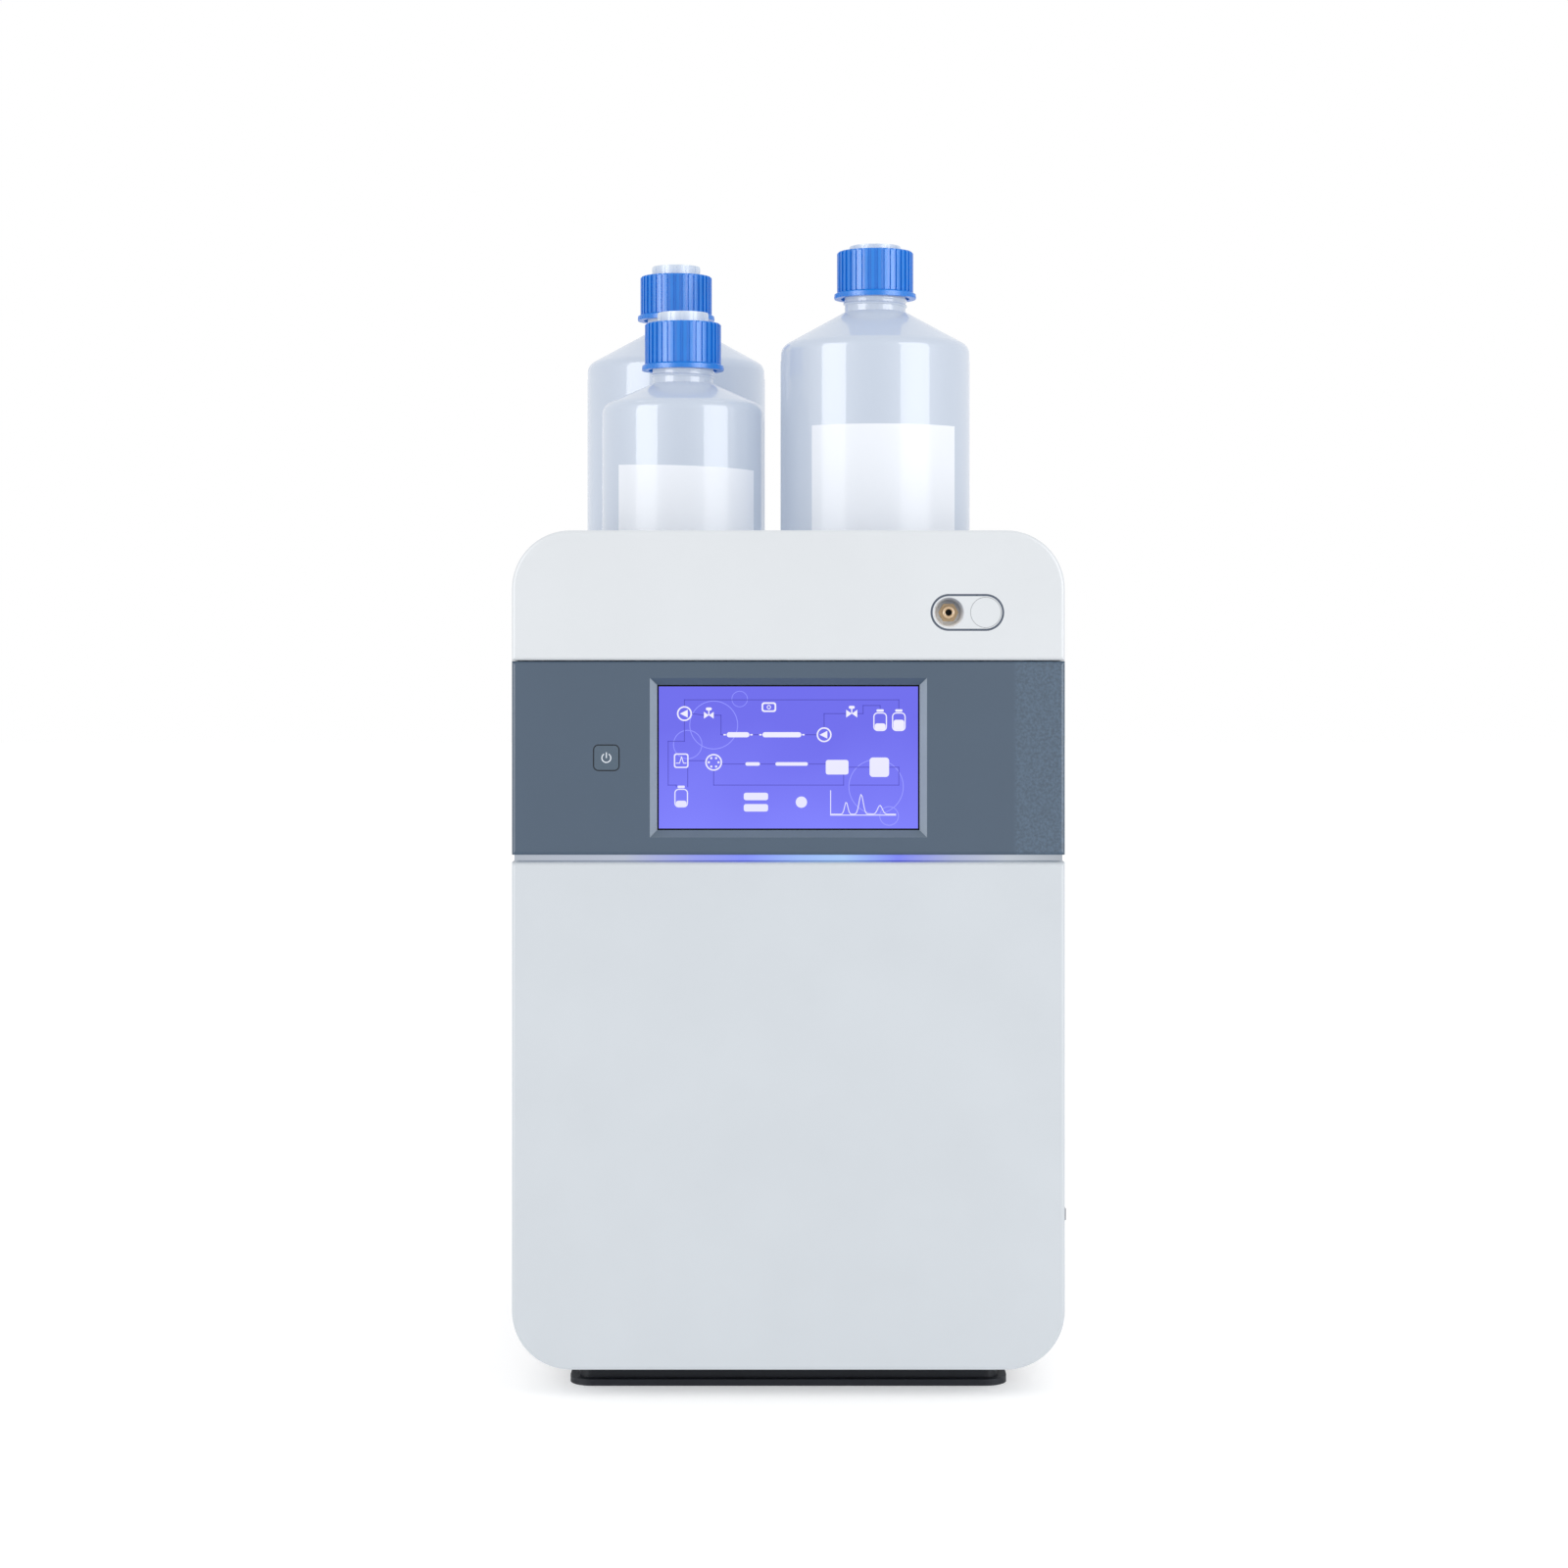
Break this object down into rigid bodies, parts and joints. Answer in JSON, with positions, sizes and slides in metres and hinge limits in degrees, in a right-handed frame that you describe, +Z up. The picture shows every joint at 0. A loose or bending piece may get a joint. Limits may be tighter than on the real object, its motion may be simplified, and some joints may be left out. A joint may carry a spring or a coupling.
{
  "type": "ion chromatograph",
  "caption": "Bench tower ion chromatograph with a rounded front, display band, light strip, hinged door over a module bay, and reagent bottles in a roof tray.",
  "frame": {"origin": "centre of the plinth's standing face on the bench, under the middle of the housing", "axes": "+X to the right of the front, +Y from the front face to the rear panel, +Z up"},
  "size_m": [0.3409, 0.49, 0.7298],
  "materials": {
    "matte_black": "satin black moulding",
    "white_moulding": "fine satin texture",
    "door_white": "fine satin texture",
    "band_grey": "fine leather texture",
    "cover_paint": "powder coat",
    "chassis_steel": "zinc plated",
    "steel": "turned",
    "light_strip": "frosted diffuser",
    "screen_glass": "touch panel",
    "electronics": "boards and cases",
    "peek": "machined polymer",
    "bottle_plastic": "milky translucent",
    "cap_blue": "moulded"
  },
  "bodies": {
    "housing": {"analytical_column": "steel", "base_plinth": "matte_black", "blanking_disc": "white_moulding", "button_switch": "electronics", "capillary_tubes": "peek", "catch_plates": "chassis_steel", "column_clips": "matte_black", "conductivity_cell": "peek", "cover_screws": "steel", "degasser": "cover_paint", "display_band": "band_grey", "display_module": "electronics", "door_hinges": "chassis_steel", "drip_tray": "door_white", "fan_frame": "matte_black", "fan_grille": "chassis_steel", "floor_pan": "chassis_steel", "guard_column": "steel", "hinge_pins": "steel", "injection_port": "peek", "injection_valve": "steel", "interface_sockets": "electronics", "left_chassis_plate": "chassis_steel", "left_side_cover": "cover_paint", "light_bar": "light_strip", "mains_inlet": "matte_black", "module_bay": "cover_paint", "port_insert": "white_moulding", "port_rim": "matte_black", "power_supply": "chassis_steel", "pump_heads": "peek", "pump_housing": "cover_paint", "purge_valve": "peek", "rear_bottle": "bottle_plastic", "rear_panel": "cover_paint", "right_bottle": "bottle_plastic", "right_chassis_plate": "chassis_steel", "right_side_cover": "cover_paint", "small_bottle": "bottle_plastic", "suppressor": "cover_paint", "top_tray": "white_moulding", "touch_glass": "screen_glass", "upper_fascia": "white_moulding", "valve_actuator": "cover_paint", "valve_fittings": "peek", "waste_outlets": "peek"},
    "door": {"front_door": "door_white", "door_liner": "door_white", "door_magnets": "steel", "door_pull": "matte_black"},
    "button": {"power_button": "band_grey"},
    "right_stopper": {"right_bottle_stopper": "bottle_plastic"},
    "right_cap": {"right_bottle_cap": "cap_blue"},
    "rear_stopper": {"rear_bottle_stopper": "bottle_plastic"},
    "rear_cap": {"rear_bottle_cap": "cap_blue"},
    "small_stopper": {"small_bottle_stopper": "bottle_plastic"},
    "small_cap": {"small_bottle_cap": "cap_blue"},
    "rotor": {"fan_rotor": "matte_black"},
    "knob": {"purge_knob": "matte_black"},
    "rocker": {"mains_switch": "matte_black"}
  },
  "joints": [
    {"name": "door_hinge", "type": "hinge", "parent": "housing", "child": "door", "pos_m": [-0.167, -0.216, 0.17], "axis": [0, 0, -1], "range_deg": [0, 100]},
    {"name": "button_push", "type": "slide", "parent": "housing", "child": "button", "axis": [0, 1, 0], "range_m": [0, 0.0015], "stiffness_N_per_m": 300, "springref_m": -0.001},
    {"name": "right_cap_lift", "type": "slide", "parent": "housing", "child": "right_stopper", "axis": [0, 0, 1], "range_m": [0, 0.006]},
    {"name": "right_cap_turn", "type": "hinge", "parent": "right_stopper", "child": "right_cap", "pos_m": [0.0575, -0.096, 0.713], "axis": [0, 0, 1], "range_deg": [0, 540]},
    {"name": "rear_cap_lift", "type": "slide", "parent": "housing", "child": "rear_stopper", "axis": [0, 0, 1], "range_m": [0, 0.006]},
    {"name": "rear_cap_turn", "type": "hinge", "parent": "rear_stopper", "child": "rear_cap", "pos_m": [-0.0794, 0.034, 0.713], "axis": [0, 0, 1], "range_deg": [0, 540]},
    {"name": "small_cap_lift", "type": "slide", "parent": "housing", "child": "small_stopper", "axis": [0, 0, 1], "range_m": [0, 0.006]},
    {"name": "small_cap_turn", "type": "hinge", "parent": "small_stopper", "child": "small_cap", "pos_m": [-0.0699, -0.096, 0.6656], "axis": [0, 0, 1], "range_deg": [0, 540]},
    {"name": "fan_spin", "type": "hinge", "parent": "housing", "child": "rotor", "pos_m": [-0.062, 0.222, 0.395], "axis": [0, 1, 0], "continuous": true},
    {"name": "purge_turn", "type": "hinge", "parent": "housing", "child": "knob", "pos_m": [-0.068, -0.16, 0.1636], "axis": [0, -1, 0], "range_deg": [0, 180]},
    {"name": "mains_rock", "type": "hinge", "parent": "housing", "child": "rocker", "pos_m": [0.096, 0.233, 0.1], "axis": [1, 0, 0], "range_deg": [0, 20]}
  ],
  "couplings": [
    {"joint": "right_cap_lift", "follows": "right_cap_turn", "m_per_rad": 0.0006366},
    {"joint": "rear_cap_lift", "follows": "rear_cap_turn", "m_per_rad": 0.0006366},
    {"joint": "small_cap_lift", "follows": "small_cap_turn", "m_per_rad": 0.0006366}
  ]
}
